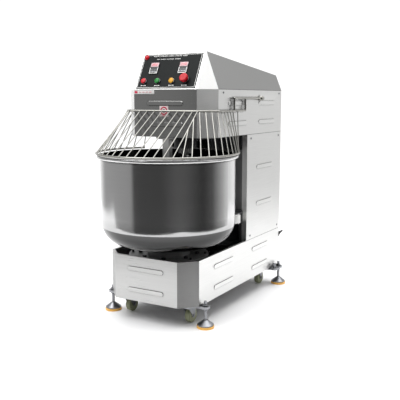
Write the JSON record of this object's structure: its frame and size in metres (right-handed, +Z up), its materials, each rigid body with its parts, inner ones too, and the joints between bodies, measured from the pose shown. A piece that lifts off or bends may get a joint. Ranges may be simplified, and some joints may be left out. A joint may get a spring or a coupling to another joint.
{
  "type": "spiral dough mixer",
  "caption": "Floor-standing spiral dough mixer with a turning bowl, spiral hook, breaker bar, lifting wire guard, sloped control panel, castors and levelling feet.",
  "frame": {"origin": "middle of the footprint of the machine without its supply cable, on the floor", "axes": "+Z up, +Y from the bowl towards the rear cover, +X to the right of someone facing the bowl"},
  "size_m": [0.7258, 1.3939, 1.331],
  "materials": {
    "brushed_stainless": "satin brushed stainless sheet",
    "shaded_stainless": "brushed stainless sheet in the shade of the bowl",
    "bowl_stainless": "spun stainless, satin rings round the axis",
    "polished_steel": "polished steel",
    "guard_wire_steel": "electropolished wire",
    "zinc_steel": "zinc plated steel",
    "castor_grey": "pale olive grey moulded wheel",
    "amber_rubber": "amber rubber pad",
    "black_steel": "black oxide steel",
    "grey_casting": "machined grey casting",
    "motor_paint": "grey motor enamel",
    "frame_paint": "dark primer on welded steel",
    "belt_rubber": "belt rubber",
    "white_nylon": "white nylon",
    "panel_black": "black overlay",
    "red_plastic": "red moulded plastic",
    "green_plastic": "green moulded plastic",
    "yellow_plastic": "yellow moulded plastic",
    "cable_black": "black rubber sheath"
  },
  "bodies": {
    "root": {"base_front_panel": "brushed_stainless", "base_side_panel_left": "brushed_stainless", "base_side_panel_right": "brushed_stainless", "bowl_bearing_housing": "grey_casting", "bowl_belt": "belt_rubber", "bowl_motor": "motor_paint", "breaker_bar": "polished_steel", "button_bezels": "panel_black", "cable_gland": "cable_black", "castor_plates": "zinc_steel", "column_front_plate": "shaded_stainless", "column_side_panel_left": "brushed_stainless", "column_side_panel_right": "brushed_stainless", "control_panel": "panel_black", "cord_coil": "cable_black", "electrical_box": "motor_paint", "foot_lugs": "zinc_steel", "foot_pads": "amber_rubber", "frame": "frame_paint", "guard_pivot_pins": "guard_wire_steel", "head_beams": "frame_paint", "head_bottom_plate": "brushed_stainless", "head_front_panel": "brushed_stainless", "head_side_panel_left": "brushed_stainless", "head_side_panel_right": "brushed_stainless", "hood": "brushed_stainless", "lamp_and_timers": "panel_black", "levelling_feet": "zinc_steel", "panel_screws": "zinc_steel", "plug": "cable_black", "power_cord": "cable_black", "rear_cover": "brushed_stainless", "roller_brackets": "zinc_steel", "shaft_bearings": "black_steel", "spiral_bearing_housing": "grey_casting", "spiral_belt": "belt_rubber", "spiral_motor": "motor_paint"},
    "bowl": {"bowl": "bowl_stainless", "bowl_turntable": "polished_steel", "turntable_bolts": "black_steel", "bowl_shaft": "polished_steel", "bowl_pulley": "grey_casting"},
    "bowl_motor_pulley": {"bowl_motor_pulley": "grey_casting"},
    "spiral": {"spiral_hook": "polished_steel", "spiral_shaft": "polished_steel", "spiral_pulley": "grey_casting"},
    "spiral_motor_pulley": {"spiral_motor_pulley": "grey_casting"},
    "guard": {"guard_cage": "guard_wire_steel"},
    "start_button": {"start_button": "green_plastic"},
    "stop_button": {"stop_button": "red_plastic"},
    "inch_button": {"inch_button": "yellow_plastic"},
    "emergency_stop": {"emergency_stop": "red_plastic"},
    "guide_roller_left": {"guide_roller_left": "white_nylon"},
    "guide_roller_right": {"guide_roller_right": "white_nylon"},
    "front_castor_left": {"front_castor_fork_left": "zinc_steel"},
    "front_castor_wheel_left": {"front_castor_wheel_left": "castor_grey"},
    "rear_castor_wheel_left": {"rear_castor_wheel_left": "castor_grey"},
    "front_castor_right": {"front_castor_fork_right": "zinc_steel"},
    "front_castor_wheel_right": {"front_castor_wheel_right": "castor_grey"},
    "rear_castor_wheel_right": {"rear_castor_wheel_right": "castor_grey"}
  },
  "joints": [
    {"name": "bowl_spin", "type": "hinge", "parent": "root", "child": "bowl", "pos_m": [0, -0.231, 0.374], "axis": [0, 0, 1], "continuous": true},
    {"name": "bowl_motor_spin", "type": "hinge", "parent": "root", "child": "bowl_motor_pulley", "pos_m": [0, 0.38111, 0.2], "axis": [0, 0, 1], "continuous": true},
    {"name": "spiral_spin", "type": "hinge", "parent": "root", "child": "spiral", "pos_m": [0, -0.059, 0.85], "axis": [0, 0, 1], "continuous": true},
    {"name": "spiral_motor_spin", "type": "hinge", "parent": "root", "child": "spiral_motor_pulley", "pos_m": [0, 0.38111, 0.975], "axis": [0, 0, 1], "continuous": true},
    {"name": "guard_lift", "type": "hinge", "parent": "root", "child": "guard", "pos_m": [0, 0.288, 1.105], "axis": [-1, 0, 0], "range_deg": [0, 65]},
    {"name": "start_press", "type": "slide", "parent": "root", "child": "start_button", "axis": [0, 0.8925, -0.4511], "range_m": [0, 0.004], "stiffness_N_per_m": 400, "springref_m": -0.002},
    {"name": "stop_press", "type": "slide", "parent": "root", "child": "stop_button", "axis": [0, 0.8925, -0.4511], "range_m": [0, 0.004], "stiffness_N_per_m": 400, "springref_m": -0.002},
    {"name": "inch_press", "type": "slide", "parent": "root", "child": "inch_button", "axis": [0, 0.8925, -0.4511], "range_m": [0, 0.004], "stiffness_N_per_m": 400, "springref_m": -0.002},
    {"name": "emergency_stop_press", "type": "slide", "parent": "root", "child": "emergency_stop", "axis": [0, 0.8925, -0.4511], "range_m": [0, 0.005]},
    {"name": "guide_roller_left_spin", "type": "hinge", "parent": "root", "child": "guide_roller_left", "pos_m": [-0.21703, 0.07666, 0.466], "axis": [0, 0, 1], "continuous": true},
    {"name": "front_castor_left_swivel", "type": "hinge", "parent": "root", "child": "front_castor_left", "pos_m": [-0.18, -0.334, 0.09], "axis": [0, 0, 1], "continuous": true},
    {"name": "front_castor_left_roll", "type": "hinge", "parent": "front_castor_left", "child": "front_castor_wheel_left", "pos_m": [-0.18, -0.312, 0.04], "axis": [1, 0, 0], "continuous": true},
    {"name": "rear_castor_left_roll", "type": "hinge", "parent": "root", "child": "rear_castor_wheel_left", "pos_m": [-0.18, 0.487, 0.04], "axis": [1, 0, 0], "continuous": true},
    {"name": "guide_roller_right_spin", "type": "hinge", "parent": "root", "child": "guide_roller_right", "pos_m": [0.21703, 0.07666, 0.466], "axis": [0, 0, 1], "continuous": true},
    {"name": "front_castor_right_swivel", "type": "hinge", "parent": "root", "child": "front_castor_right", "pos_m": [0.18, -0.334, 0.09], "axis": [0, 0, 1], "continuous": true},
    {"name": "front_castor_right_roll", "type": "hinge", "parent": "front_castor_right", "child": "front_castor_wheel_right", "pos_m": [0.18, -0.312, 0.04], "axis": [1, 0, 0], "continuous": true},
    {"name": "rear_castor_right_roll", "type": "hinge", "parent": "root", "child": "rear_castor_wheel_right", "pos_m": [0.18, 0.487, 0.04], "axis": [1, 0, 0], "continuous": true}
  ],
  "couplings": [
    {"joint": "bowl_motor_spin", "follows": "bowl_spin", "ratio": 4},
    {"joint": "spiral_motor_spin", "follows": "spiral_spin", "ratio": 3},
    {"joint": "guide_roller_left_spin", "follows": "bowl_spin", "ratio": -9.4444},
    {"joint": "guide_roller_right_spin", "follows": "bowl_spin", "ratio": -9.4444}
  ]
}
